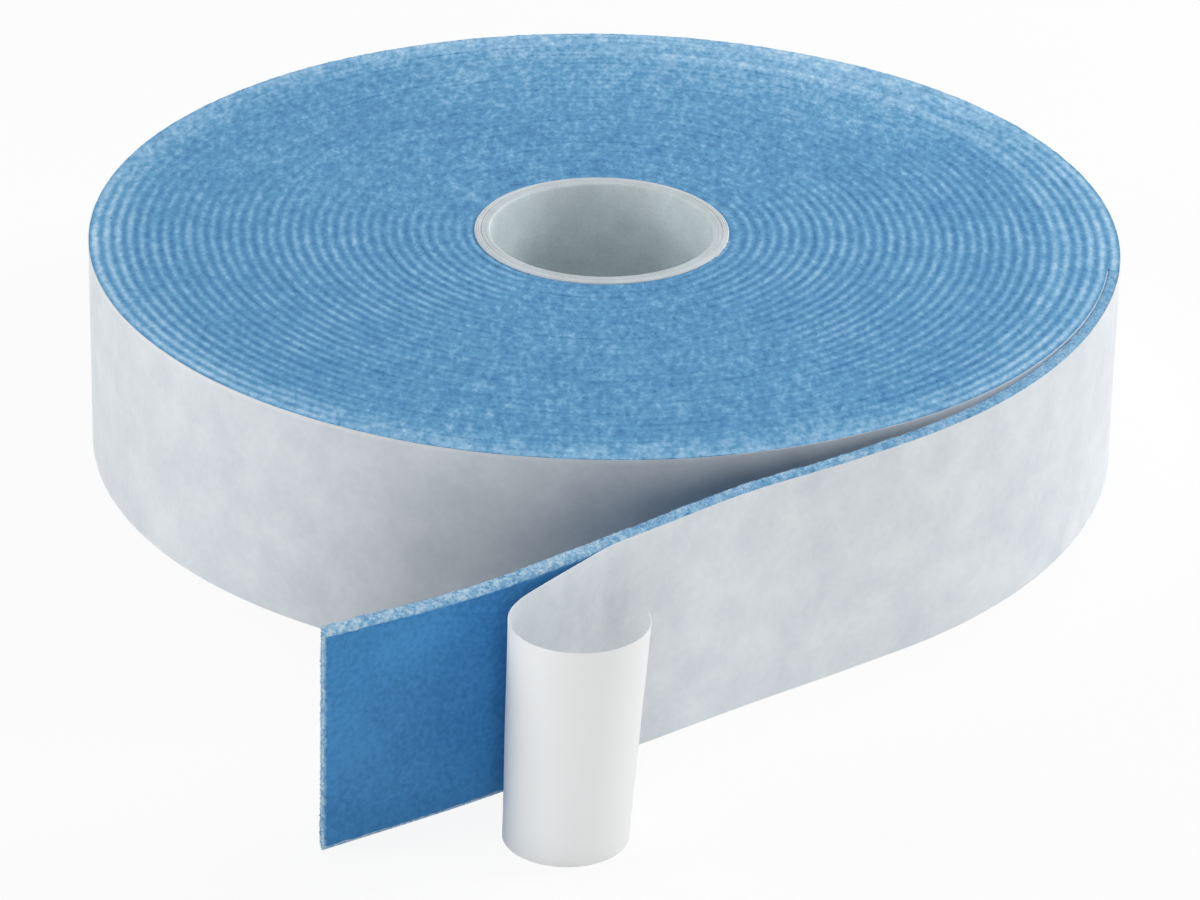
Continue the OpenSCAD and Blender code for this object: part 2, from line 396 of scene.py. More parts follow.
def store(piece, name, values):
    """Keeps a number per point on a piece, for its material or its tufts."""
    attribute = piece.data.attributes.new(name, "FLOAT", "POINT")
    attribute.data.foreach_set("value", np.asarray(values, np.float32))


def smooth_step(x):
    """Eased climb from 0 to 1."""
    t = np.clip(x, 0, 1)
    return t * t * (3 - 2 * t)


def rough(points, size):
    """Noise between about -1 and 1 at points, with lumps of the given size."""
    return np.array([noise.noise(p) for p in (np.asarray(points) / size).tolist()])


def bar_skin(along, across, up):
    """Closed skin of a bar: its points as rows of along, across and up, and its outward faces."""
    sides = (along, across, up)
    last = [len(side) - 1 for side in sides]
    index = {}
    faces = []
    for axis in range(3):
        second, third = (axis + 1) % 3, (axis + 2) % 3
        for end in (0, last[axis]):
            for i in range(last[second]):
                for j in range(last[third]):
                    quad = []
                    for di, dj in ((0, 0), (1, 0), (1, 1), (0, 1)):
                        corner = [0, 0, 0]
                        corner[axis], corner[second], corner[third] = end, i + di, j + dj
                        quad.append(index.setdefault(tuple(corner), len(index)))
                    faces.append(quad if end else quad[::-1])
    points = np.array([[side[k] for side, k in zip(sides, corner)] for corner in index])
    return points, faces


# Middle and spread of the bows past and before the peel line, and the share of them at the strip's foot
BOW_PAST = 34 * MM
BOW_PAST_SPREAD = 34 * MM
BOW_BEFORE = 38 * MM
BOW_BEFORE_SPREAD = 20 * MM
BOW_FOOT = 0.3


class Tail:
    """Path of the liner's outer face from the line where it leaves the roll."""

    def __init__(self, strip, tail):
        leave, bend = (np.array(JOINT_AT[name])[:2] for name in ("tail_lift", "tail_bend"))
        self.leave_at = math.atan2(leave[1], leave[0])
        self.roll_r = math.hypot(*leave)
        self.lift_r, self.run_r = tail.lift_r, tail.run_r
        self.lift_c = leave * (1 - tail.lift_r / self.roll_r)
        self.bend_at = math.atan2(*(bend - self.lift_c)[::-1])
        self.lift = (self.leave_at - self.bend_at) * tail.lift_r
        self.run_c = bend - tail.run_r * np.array([math.cos(self.bend_at), math.sin(self.bend_at)])
        self.tip = self.lift + tail.run
        self.peel = self.tip - tail.bare
        self.width, self.bow_out, self.bow_in = strip.width, tail.bow_out, tail.bow_in
        self.film_depth = strip.liner + strip.gap
        self.foam_depth = self.film_depth + strip.film + strip.gap

    def at(self, s):
        """Points and outward normals in plan, at distances from the leave line."""
        s = np.asarray(s, float)
        lifting = s < self.lift
        angle = np.where(
            lifting, self.leave_at - s / self.lift_r, self.bend_at - (s - self.lift) / self.run_r)
        out = np.stack([np.cos(angle), np.sin(angle)], -1)
        centre = np.where(lifting[..., None], self.lift_c, self.run_c)
        radius = np.where(lifting, self.lift_r, self.run_r)
        return centre + radius[..., None] * out, out

    def bow(self, s, z):
        """How far the strip bows out, about three times as far at its top as at its foot."""
        past = np.exp(-((s - self.peel - BOW_PAST) / BOW_PAST_SPREAD) ** 2)
        before = np.exp(-((s - self.peel + BOW_BEFORE) / BOW_BEFORE_SPREAD) ** 2)
        rise = BOW_FOOT + (1 - BOW_FOOT) * z / self.width
        return (self.bow_out * past - self.bow_in * before) * rise

    def point(self, s, z):
        """One point of the path at a height."""
        return (*self.at(s)[0], z)


# Distances along the tail at which its pieces part
SPLIT = 40 * MM
FLAP_FROM = 150 * MM

# Length past each joint of the tail at which a point of the path is read
BEND_SPAN = 25 * MM

# How far the cut end of the strip slants back from its film
SLANT = 1.5 * MM

# Steps along the mesh of the tail's foam and film, and of its liner
FOAM_STEP = 0.8 * MM
LINER_STEP = 1.5 * MM

# How far the liner stays below the top of the strip, its rows of points and the angle that is a sharp edge
LINER_SHORT = 0.15 * MM
LINER_ROWS = 15
LINER_SHARP = 0.7

# Half the length of liner that kinks at the peel line
KINK = 3 * MM

# Lengths of the waves in the strip's face and along its cut edge
RIPPLE_SIZE = 17 * MM
WANDER_SIZE = 45 * MM

# A point past this share of the way through a piece lies on its end face
AT_END = 0.999


def ripple(s, z):
    """Slight waves of the strip's face, the same for all its layers."""
    places = np.stack([s, z, np.zeros_like(s)], -1)
    return 0.09 * MM * rough(places, RIPPLE_SIZE)


def new_tree(name, ports):
    """A node tree that makes a mesh, with inputs listed by their kind, and the sockets of those inputs."""
    tree = bpy.data.node_groups.new(name, "GeometryNodeTree")
    for kind, labels in ports.items():
        for label in labels:
            tree.interface.new_socket(label, in_out="INPUT", socket_type="NodeSocket" + kind)
    tree.interface.new_socket("Geometry", in_out="OUTPUT", socket_type="NodeSocketGeometry")
    return tree, add(tree, "NodeGroupInput").outputs


def end_tree(tree, mesh, material):
    """Ends a node tree with its mesh made real and given its material."""
    mesh = add(tree, "GeometryNodeRealizeInstances", None, {"Geometry": mesh})
    mesh = add(tree, "GeometryNodeSetMaterial", None, {"Geometry": mesh, "Material": material})
    add(tree, "NodeGroupOutput", None, {0: mesh})


def wound_tree():
    """Node tree that bends a bar into one layer of the winding, with a rough top."""
    tree, given = new_tree("Wound layer", {
        "Float": (
            "Width", "First radius", "Pitch", "Thickness", "From turn", "To turn", "Row pull", "Edge band",
            "Spread", "Core radius", "Squeezed", "Start angle", "Lowered", "Grain", "Grain size", "Wander",
            "Ripple", "Rim fluff", "Sharp angle"),
        "Int": ("Steps", "Points across", "Points up"),
        "Material": ("Material",)})
    bar = add(tree, "GeometryNodeMeshCube", None, {
        "Size": (1, 1, 1), "Vertices X": given["Steps"], "Vertices Y": given["Points across"],
        "Vertices Z": given["Points up"]})
    spot = add(tree, "GeometryNodeInputPosition")
    share = add(tree, "ShaderNodeVectorMath", {"operation": "ADD"}, {0: spot, 1: (0.5, 0.5, 0.5)})
    along, across, up = add(tree, "ShaderNodeSeparateXYZ", None, {0: share}).outputs

    # Rows of points are even, or are pulled to a band along each cut edge
    off = add(tree, "ShaderNodeMath", {"operation": "SUBTRACT"}, {0: up, 1: 0.5})
    far = add(tree, "ShaderNodeMath", {"operation": "ABSOLUTE"}, {0: off})
    end = add(tree, "ShaderNodeMath", {"operation": "GREATER_THAN"}, {0: far, 1: AT_END - 0.5})
    side = add(tree, "ShaderNodeMath", {"operation": "SIGN"}, {0: off})
    band = add(tree, "ShaderNodeMath", {"operation": "DIVIDE"}, {
        0: given["Edge band"], 1: given["Width"]})
    rest = add(tree, "ShaderNodeMath", {"operation": "SUBTRACT"}, {0: 1.0, 1: band})
    row = add(tree, "ShaderNodeMath", {"operation": "MULTIPLY_ADD"}, {
        0: off, 1: given["Row pull"], 2: 0.5})
    row = add(tree, "ShaderNodeClamp", None, {"Value": row, "Min": band, "Max": rest})
    outer = add(tree, "ShaderNodeMath", {"operation": "MULTIPLY"}, {0: end, 1: side})
    row = add(tree, "ShaderNodeMath", {"operation": "MULTIPLY_ADD"}, {0: outer, 1: band, 2: row})

    # Each turn lies one pitch outside the turn before it, and the first is squeezed onto the core
    turn = add(tree, "ShaderNodeMapRange", None, {
        "Value": along, "To Min": given["From turn"], "To Max": given["To turn"]})
    turned = add(tree, "ShaderNodeMath", {"operation": "MULTIPLY"}, {0: turn, 1: math.tau})
    inner = add(tree, "ShaderNodeMath", {"operation": "MULTIPLY_ADD"}, {
        0: given["Pitch"], 1: turn, 2: given["First radius"]})
    outer_face = add(tree, "ShaderNodeMath", {"operation": "ADD"}, {0: inner, 1: given["Thickness"]})
    first = add(tree, "ShaderNodeMath", {"operation": "LESS_THAN"}, {0: turn, 1: given["Squeezed"]})
    on_core = add(tree, "ShaderNodeMix", None, {0: first, 2: inner, 3: given["Core radius"]})
    radius = add(tree, "ShaderNodeMix", None, {0: across, 2: on_core, 3: outer_face})

    # The cut edge swells over the layers beside it
    swell = add(tree, "ShaderNodeMath", {"operation": "MULTIPLY"}, {0: given["Spread"], 1: end})
    middle = add(tree, "ShaderNodeMath", {"operation": "SUBTRACT"}, {0: across, 1: 0.5})
    radius = add(tree, "ShaderNodeMath", {"operation": "MULTIPLY_ADD"}, {0: swell, 1: middle, 2: radius})
    angle = add(tree, "ShaderNodeMath", {"operation": "SUBTRACT"}, {0: given["Start angle"], 1: turned})
    cosine = add(tree, "ShaderNodeMath", {"operation": "COSINE"}, {0: angle})
    sine = add(tree, "ShaderNodeMath", {"operation": "SINE"}, {0: angle})
    outward = add(tree, "ShaderNodeCombineXYZ", None, {0: cosine, 1: sine, 2: 0.0})
    plan = add(tree, "ShaderNodeVectorMath", {"operation": "SCALE"}, {0: outward, "Scale": radius})

    # Length of strip up to here, along which its cut edge wanders up and down
    both = add(tree, "ShaderNodeMath", {"operation": "ADD"}, {0: inner, 1: given["First radius"]})
    length = add(tree, "ShaderNodeMath", {"operation": "MULTIPLY"}, {0: both, 1: turned})
    length = add(tree, "ShaderNodeMath", {"operation": "MULTIPLY"}, {0: length, 1: 0.5})
    wave = add(tree, "ShaderNodeMath", {"operation": "DIVIDE"}, {0: length, 1: WANDER_SIZE})
    wander = add(tree, "ShaderNodeTexNoise", {"noise_dimensions": "1D"}, {
        "W": wave, "Scale": 1.0, "Detail": 2.0})
    wander = add(tree, "ShaderNodeMath", {"operation": "SUBTRACT"}, {0: wander, 1: 0.5})

    # The top edge is grainy, and the bottom edge is plain and raised by half as much as the top is lowered
    fine = add(tree, "ShaderNodeMath", {"operation": "DIVIDE"}, {0: 1.0, 1: given["Grain size"]})
    grain = add(tree, "ShaderNodeTexNoise", None, {"Vector": plan, "Scale": fine, "Detail": 2.0})
    grain = add(tree, "ShaderNodeMath", {"operation": "SUBTRACT"}, {0: grain, 1: 0.5})
    top = add(tree, "ShaderNodeMath", {"operation": "SUBTRACT"}, {0: given["Width"], 1: given["Lowered"]})
    for swing, gain in ((grain, given["Grain"]), (wander, given["Wander"])):
        top = add(tree, "ShaderNodeMath", {"operation": "MULTIPLY_ADD"}, {0: swing, 1: gain, 2: top})
    bottom = add(tree, "ShaderNodeMath", {"operation": "MULTIPLY"}, {0: given["Lowered"], 1: 0.5})
    height = add(tree, "ShaderNodeMapRange", None, {"Value": row, "To Min": bottom, "To Max": top})
    lift = add(tree, "ShaderNodeCombineXYZ", None, {0: 0.0, 1: 0.0, 2: height})
    place = add(tree, "ShaderNodeVectorMath", {"operation": "ADD"}, {0: plan, 1: lift})

    # Slight waves push the faces in and out
    push = add(tree, "ShaderNodeTexNoise", None, {
        "Vector": place, "Scale": 1 / RIPPLE_SIZE, "Detail": 1.0})
    push = add(tree, "ShaderNodeMath", {"operation": "SUBTRACT"}, {0: push, 1: 0.5})
    push = add(tree, "ShaderNodeMath", {"operation": "MULTIPLY"}, {0: push, 1: given["Ripple"]})
    push = add(tree, "ShaderNodeVectorMath", {"operation": "SCALE"}, {0: outward, "Scale": push})
    place = add(tree, "ShaderNodeVectorMath", {"operation": "ADD"}, {0: place, 1: push})

    # What the materials and the tufts read later is kept before the points move
    fluffy_turns = 1.2
    last = add(tree, "ShaderNodeMath", {"operation": "SUBTRACT"}, {0: given["To turn"], 1: fluffy_turns})
    fluff = add(tree, "ShaderNodeMapRange", {"interpolation_type": "SMOOTHSTEP"}, {
        "Value": turn, "From Min": last, "From Max": given["To turn"], "To Max": given["Rim fluff"]})
    on_top = add(tree, "ShaderNodeMath", {"operation": "GREATER_THAN"}, {0: up, 1: AT_END})
    mesh = bar.outputs["Mesh"]
    for name, value in (("across", across), ("cut", on_top), ("fluff", fluff)):
        mesh = add(tree, "GeometryNodeStoreNamedAttribute", {"data_type": "FLOAT", "domain": "POINT"}, {
            "Geometry": mesh, "Name": name, "Value": value})
    mesh = add(tree, "GeometryNodeSetPosition", None, {"Geometry": mesh, "Position": place})
    mesh = add(tree, "GeometryNodeSetShadeSmooth", None, {"Geometry": mesh})
    bent = add(tree, "GeometryNodeInputMeshEdgeAngle").outputs["Unsigned Angle"]
    sharp = add(tree, "FunctionNodeCompare", {"operation": "GREATER_THAN"}, {
        0: bent, 1: given["Sharp angle"]})
    mesh = add(tree, "GeometryNodeSetShadeSmooth", {"domain": "EDGE"}, {
        "Geometry": mesh, "Selection": sharp, "Shade Smooth": False})
    end_tree(tree, mesh, given["Material"])
    return tree


def tuft_tree():
    """Node tree that strews torn foam cells over the cut faces of a mesh."""
    tree, given = new_tree("Foam tufts", {
        "Geometry": ("Geometry",), "Float": ("Density", "Length", "Radius", "Fluff"), "Int": ("Seed",),
        "Material": ("Material",)})
    cut = add(tree, "GeometryNodeInputNamedAttribute", {"data_type": "FLOAT"}, {"Name": "cut"})
    on_cut = add(tree, "FunctionNodeCompare", {"operation": "GREATER_THAN"}, {0: cut, 1: 0.9})
    faces = add(tree, "GeometryNodeSeparateGeometry", {"domain": "FACE"}, {
        "Geometry": given["Geometry"], "Selection": on_cut})
    spread = add(tree, "GeometryNodeDistributePointsOnFaces", None, {
        "Mesh": faces, "Density": given["Density"], "Seed": given["Seed"]})
    tip = 0.02 * MM
    cell = add(tree, "GeometryNodeMeshCone", {"fill_type": "NGON"}, {
        "Vertices": 4, "Side Segments": 2, "Radius Top": tip, "Radius Bottom": given["Radius"],
        "Depth": given["Length"]})
    cell = add(tree, "GeometryNodeStoreNamedAttribute", {"data_type": "FLOAT", "domain": "POINT"}, {
        "Geometry": cell, "Name": "fluff", "Value": given["Fluff"]})
    cell = add(tree, "GeometryNodeSetShadeSmooth", None, {"Geometry": cell})
    tilt, spin = 1.1, 3.1
    lean = add(tree, "FunctionNodeRandomValue", {"data_type": "FLOAT_VECTOR"}, {
        0: (-tilt, -tilt, -spin), 1: (tilt, tilt, spin), "Seed": given["Seed"]})
    smallest, largest = 0.5, 1.25
    size = add(tree, "FunctionNodeRandomValue", {"data_type": "FLOAT"}, {
        2: smallest, 3: largest, "Seed": given["Seed"]})
    turned = add(tree, "FunctionNodeRotateRotation", {"rotation_space": "LOCAL"}, {
        0: spread.outputs["Rotation"], 1: lean})
    strewn = add(tree, "GeometryNodeInstanceOnPoints", None, {
        "Points": spread.outputs["Points"], "Instance": cell, "Rotation": turned,
        "Scale": size.outputs[1]})
    end_tree(tree, strewn, given["Material"])
    return tree


def grown(name, tree, settings, base=None):
    """The result of a node tree as a plain mesh piece. A base mesh is copied and goes into the tree."""
    start = base.copy() if base else bpy.data.meshes.new(name)
    source = bpy.data.objects.new(name, start)
    bpy.context.scene.collection.objects.link(source)
    modifier = source.modifiers.new("Nodes", "NODES")
    modifier.node_group = tree
    for port in tree.interface.items_tree:
        if port.in_out == "INPUT" and port.name in settings:
            modifier[port.identifier] = settings[port.name]
    graph = bpy.context.evaluated_depsgraph_get()
    mesh = bpy.data.meshes.new_from_object(source.evaluated_get(graph), depsgraph=graph)
    source.modifiers.remove(modifier)
    source.data = mesh
    bpy.data.meshes.remove(start)
    mesh.name = name
    mesh.materials.clear()
    mesh.materials.append(settings["Material"])
    mesh.polygons.foreach_set("material_index", np.zeros(len(mesh.polygons), np.int32))
    return source


def winding(strip):
    """Pitch of the turns and radius of the foam's inner face before the first turn."""
    pitch = strip.wound_foam + strip.film + strip.liner + 3 * strip.gap
    leave = math.hypot(*JOINT_AT["tail_lift"][:2])
    return pitch, leave - strip.turns * pitch - (pitch - strip.gap)


def wind(context, name, offset, thickness, turns, steps, material, **more):
    """One layer of the winding over a range of turns."""
    strip = context.scene.roll_strip
    pitch, first = winding(strip)
    leave = JOINT_AT["tail_lift"]
    settings = {
        "Width": strip.width, "First radius": first + offset, "Pitch": pitch, "Thickness": thickness,
        "From turn": turns[0], "To turn": turns[1], "Steps": round((turns[1] - turns[0]) * steps) + 1,
        "Points across": 2, "Points up": 2, "Row pull": 1.0, "Edge band": 0.0, "Spread": 0.0,
        "Core radius": strip.core + strip.gap, "Squeezed": 0.0,
        "Start angle": math.atan2(leave.y, leave.x), "Lowered": 0.0, "Grain": 0.0,
        "Grain size": 1.3 * MM, "Wander": 0.0, "Ripple": 0.0, "Rim fluff": 0.0,
        "Sharp angle": math.pi, "Material": material}
    settings.update(more)
    tree = bpy.data.node_groups.get("Wound layer") or wound_tree()
    return grown(name, tree, settings)


# How far the tail's cut edges are rounded, and the band in which the wound foam swells over the liner
FOAM_EDGE = 0.4 * MM
FOAM_BAND = 1.5 * MM


class OBJECT_OT_roll_wound_foam(bpy.types.Operator):
    """Winds the foam in three lengths, finer where the turns are wider"""

    bl_idname = "object.roll_wound_foam"
    bl_label = "Wound foam"

    def execute(self, context):
        strip = context.scene.roll_strip
        foam = stocked("Open-cell foam", foam_material, context.scene.roll_colours)
        pitch = winding(strip)[0]
        look = {
            "Points across": 7, "Points up": 4, "Row pull": 3.0, "Edge band": FOAM_BAND,
            "Spread": pitch - strip.wound_foam, "Grain": 0.5 * MM, "Wander": 0.2 * MM,
            "Squeezed": 1.0, "Sharp angle": 1.0}

        # Name, first and last turn, steps in a turn, and how torn the cut is at the end
        lengths = (
            ("wound_foam_inner", (0.0, 13.0), 260, 0.0),
            ("wound_foam_middle", (13.0, 24.0), 480, 0.0),
            ("wound_foam_outer", (24.0, float(strip.turns)), 600, 0.1))
        for name, turns, steps, rim in lengths:
            piece = wind(
                context, name, 0.0, strip.wound_foam, turns, steps, foam, **{**look, "Rim fluff": rim})
            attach(piece, "roll")
            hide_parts("wound_foam")
        return {"FINISHED"}


class OBJECT_OT_roll_wound_layers(bpy.types.Operator):
    """Winds the adhesive film and the paper liner between the turns of foam"""

    bl_idname = "object.roll_wound_layers"
    bl_label = "Wound film and liner"

    def execute(self, context):
        strip = context.scene.roll_strip
        colours = context.scene.roll_colours
        film = stocked("Acrylic adhesive film", film_material, colours)
        paper = stocked("Silicone release paper", liner_material, colours, strip.width)
        film_at = strip.wound_foam + strip.gap
        liner_at = film_at + strip.film + strip.gap
        last = float(strip.turns)
        piece = wind(
            context, "wound_film", film_at, strip.film, (0.0, last), 180, film,
            **{"Lowered": FOAM_BAND + 0.2 * MM, "Wander": 0.2 * MM})
        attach(piece, "roll")
        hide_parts("wound_adhesive")

        # Name, first and last turn, steps in a turn, rows of points, and how the top edge lies
        rim = last - 5
        under_tail = last - 1
        lengths = (
            ("wound_paper", (0.0, rim), 180, 2, {"Lowered": FOAM_BAND, "Wander": 0.4 * MM}),
            ("wound_paper_rim", (rim, under_tail), 240, 2, {"Lowered": 0.75 * MM, "Wander": 2.2 * MM}),
            ("outer_paper", (under_tail, last), 480, LINER_ROWS, {
                "Lowered": LINER_SHORT, "Wander": 0.3 * MM, "Ripple": 0.16 * MM,
                "Sharp angle": LINER_SHARP, "Rim fluff": 1.0}))
        for name, turns, steps, rows, edge in lengths:
            piece = wind(
                context, name, liner_at, strip.liner, turns, steps, paper,
                **{"Points up": rows, **edge})
            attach(piece, "roll")
            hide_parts("wound_liner")
        return {"FINISHED"}


def loose_foam(name, tail, strip, start, stop, material):
    """A stretch of the tail's foam, with soft edges and rough cut faces."""
    steps = round((stop - start) / FOAM_STEP)
    rows = np.concatenate([[0, 0.012], np.linspace(0.03, 0.97, 30), [0.988, 1]])
    grid, faces = bar_skin(np.linspace(start, stop, steps + 1), np.linspace(0, 1, 8), rows)
    s, c, u = grid.T
    slanted = 8 * MM
    s = s - (1 - c) * SLANT * smooth_step((s - tail.tip) / slanted + 1)
    freed = smooth_step(s / tail.lift)
    thick = strip.wound_foam + (strip.free_foam - strip.wound_foam) * freed
    edge = FOAM_EDGE * (2 * c - 1) ** 4
    z = u * (strip.width - edge) + (1 - u) * edge
    plan, out = tail.at(s)
    depth = tail.foam_depth + (1 - c) * thick - ripple(s, z) - tail.bow(s, z)
    points = np.column_stack([plan - depth[:, None] * out, z])
    piece = new_piece(name, points, faces, material)

    # Lumps roughen the cut faces most, the face under the film not at all, and the others a little
    torn = np.maximum(u > AT_END, grid[:, 0] > tail.tip - 0.001 * MM)
    give = np.where(torn, 1.0, np.where(c > 0.99, 0.0, 0.35))
    lumps = rough(points, 1.4 * MM) * 0.14 * MM + rough(points, 7 * MM) * 0.15 * MM
    normals = np.array([v.normal for v in piece.data.vertices])
    points = points + normals * (give * lumps)[:, None]
    points[:, 2] = np.maximum(points[:, 2], 0)
    piece.data.vertices.foreach_set("co", points.ravel())
    store(piece, "across", np.full(len(points), 0.25))
    store(piece, "cut", torn.astype(float))

    # The edges fray more toward the bare end, and a negative fluff marks the inner face
    fraying = 60 * MM
    bared = smooth_step((s - tail.peel) / fraying + 0.7)
    worn = np.maximum(u < 0.035, grid[:, 0] > tail.tip - 0.5 * MM)
    fluff = 0.1 + 0.25 * freed + bared * np.where(worn, 1.0, np.where(u > AT_END, 0.5, 0.1))
    store(piece, "fluff", np.where((c < 0.01) & (u < 0.985), -1.0, fluff))
    return piece


class OBJECT_OT_roll_tail_foam(bpy.types.Operator):
    """Makes the foam of the tail, which thickens as it comes free"""

    bl_idname = "object.roll_tail_foam"
    bl_label = "Tail foam"

    def execute(self, context):
        strip = context.scene.roll_strip
        tail = Tail(strip, context.scene.roll_tail)
        foam = stocked("Open-cell foam", foam_material, context.scene.roll_colours)
        near = loose_foam("tail_foam_near", tail, strip, 0.0, SPLIT, foam)
        far = loose_foam("tail_foam_far", tail, strip, SPLIT, tail.tip, foam)
        for piece, node in ((near, "tail_foam"), (far, "end_foam")):
            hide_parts(node)
        bend_tail(tail, near, far)
        return {"FINISHED"}


def bend_tail(tail, near, far):
    """Bakes the placing of a piece near the roll and of one further out into their meshes."""
    tail.point(0.0, 0.0)
    tail.point(BEND_SPAN, 0.0)
    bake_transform(near)
    tail.point(tail.lift, 0.0)
    tail.point(tail.lift + BEND_SPAN, 0.0)
    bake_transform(far)


class OBJECT_OT_roll_tail_film(bpy.types.Operator):
    """Lays the adhesive film on the tail, with its edge short of the torn edge of the foam"""

    bl_idname = "object.roll_tail_film"
    bl_label = "Tail film"

    def execute(self, context):
        strip = context.scene.roll_strip
        tail = Tail(strip, context.scene.roll_tail)
        material = stocked("Acrylic adhesive film", film_material, context.scene.roll_colours)
        lengths = (
            ("tail_film_near", "tail_adhesive", 0.0, SPLIT),
            ("tail_film_far", "end_adhesive", SPLIT, tail.tip))
        pieces = []
        for name, node, start, stop in lengths:
            pieces.append(self.lay_film(name, tail, strip, start, stop, material))
            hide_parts(node)
        bend_tail(tail, *pieces)
        return {"FINISHED"}

    def lay_film(self, name, tail, strip, start, stop, material):
        """A length of film that fades into the foam along its edges."""
        steps = round((stop - start) / FOAM_STEP)
        fine = np.array([0, 0.008, 0.016, 0.024, 0.034, 0.045])
        rows = np.concatenate([fine, np.linspace(0.06, 0.94, 32), 1 - fine[::-1]])
        grid, faces = bar_skin(np.linspace(start, stop, steps + 1), (0.0, 1.0), rows)
        s, c, u = grid.T

        # The edges lie about a millimetre inside the foam's, the end a little less, and all are ragged
        ragged = rough(np.stack([s, u * strip.width, np.full_like(s, 0.3)], -1), 1.8 * MM)
        short = 1.0 * MM + 0.25 * MM * ragged
        z = short + u * (strip.width - 2 * short)
        close = np.minimum(z, strip.width - z)
        if stop == tail.tip:
            close = np.minimum(close, tail.tip - s + 0.4 * MM)
            s = s - (0.2 * MM + 0.15 * MM * ragged) * smooth_step((s - tail.tip) / (3 * MM) + 1)
        plan, out = tail.at(s)
        depth = tail.film_depth + (1 - c) * strip.film - ripple(s, z) - tail.bow(s, z)
        piece = new_piece(name, np.column_stack([plan - depth[:, None] * out, z]), faces, material)
        fading = 1.6 * MM
        store(piece, "rim", 1 - smooth_step(close / fading))
        return piece


def flap_path(tail, z, lead, radius, peel, reach):
    """Distances along the liner from the peel line, with points and left normals of its outer face."""
    # The curl sets in gently, over twice this length
    soft = 8 * MM
    q = np.arange(-KINK, reach + KINK, 0.25 * MM)
    mid = (q[1:] + q[:-1]) / 2
    begin, small = tail.peel - KINK, 0.5 * MM
    slope = (tail.bow(begin + small, z) - tail.bow(begin - small, z)) / (2 * small)
    bend = np.where(np.abs(mid) < KINK, (peel - slope) / (2 * KINK), 0.0)
    bend = bend + smooth_step((mid - lead + soft) / (2 * soft)) / radius
    start, out = tail.at(begin)
    start = start + tail.bow(begin, z) * out
    heading = math.atan2(out[1], out[0]) - math.pi / 2 + slope
    turned = heading + np.concatenate([[0.0], np.cumsum(bend * np.diff(q))])
    middle = (turned[1:] + turned[:-1]) / 2
    step = np.stack([np.cos(middle), np.sin(middle)], -1) * np.diff(q)[:, None]
    points = start + np.concatenate([[[0.0, 0.0]], np.cumsum(step, 0)])
    return q, points, np.stack([-np.sin(turned), np.cos(turned)], -1)


class OBJECT_OT_roll_tail_liner(bpy.types.Operator):
    """Lays the paper liner on the tail and curls it back where it is peeled"""

    bl_idname = "object.roll_tail_liner"
    bl_label = "Tail liner"

    def execute(self, context):
        strip = context.scene.roll_strip
        tail = Tail(strip, context.scene.roll_tail)
        paper = stocked(
            "Silicone release paper", liner_material, context.scene.roll_colours, strip.width)
        high = strip.width - LINER_SHORT
        rows = np.linspace(0, 1, LINER_ROWS)
        lengths = (
            ("tail_paper_near", "tail_liner", 0.0, SPLIT),
            ("tail_paper_far", "end_liner", SPLIT, FLAP_FROM))
        pieces = []
        for name, node, start, stop in lengths:
            steps = round((stop - start) / LINER_STEP)
            grid, faces = bar_skin(np.linspace(start, stop, steps + 1), (0.0, 1.0), rows)
            s, c, u = grid.T
            plan, out = tail.at(s)
            depth = (1 - c) * strip.liner - ripple(s, u * high) - tail.bow(s, u * high)
            points = np.column_stack([plan - depth[:, None] * out, u * high])
            piece = self.paper_piece(name, node, points, faces, c, paper, (strip.width, stop - start))
            pieces.append(piece)
        bend_tail(tail, *pieces)
        self.peel_flap(tail, context.scene.roll_tail, strip, rows, high, paper)
        return {"FINISHED"}

    def paper_piece(self, name, node, points, faces, across, material, flat):
        """A sheet of liner that stands for a node, with sharp cut edges."""
        piece = new_piece(name, points, faces, material)
        store(piece, "across", across)
        piece.data.set_sharp_from_angle(angle=LINER_SHARP)
        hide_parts(node)
        return piece

    def peel_flap(self, tail, peeled, strip, rows, high, material):
        """The liner from a little before the peel line, curled tighter at the bottom than at the top."""
        free_points = 112
        on_tail = np.arange(FLAP_FROM, tail.peel - KINK, LINER_STEP) - tail.peel
        free = np.linspace(-KINK, peeled.flap, free_points)
        grid, faces = bar_skin(np.concatenate([on_tail, free]), (0.0, 1.0), rows)
        a, c, u = grid.T
        held = tail.peel + np.minimum(a, -KINK)
        plan, out = tail.at(held)
        plan = plan + tail.bow(held, u * high)[:, None] * out
        loose = a > -KINK
        for row in rows:
            lead = peeled.lead_bottom + (peeled.lead_top - peeled.lead_bottom) * row
            radius = peeled.curl_bottom + (peeled.curl_top - peeled.curl_bottom) * row
            q, path, left = flap_path(tail, row * high, lead, radius, peeled.peel, peeled.flap)
            here = loose & (u == row)
            for k in range(2):
                plan[here, k] = np.interp(a[here], q, path[:, k])
                out[here, k] = np.interp(a[here], q, left[:, k])
        depth = (1 - c) * strip.liner - ripple(tail.peel + a, u * high)
        points = np.column_stack([plan - depth[:, None] * out, u * high])
        flat = (strip.width, tail.peel - FLAP_FROM + peeled.flap)
        piece = self.paper_piece("peeled_paper", "peeled_liner", points, faces, c, material, flat)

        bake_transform(piece)


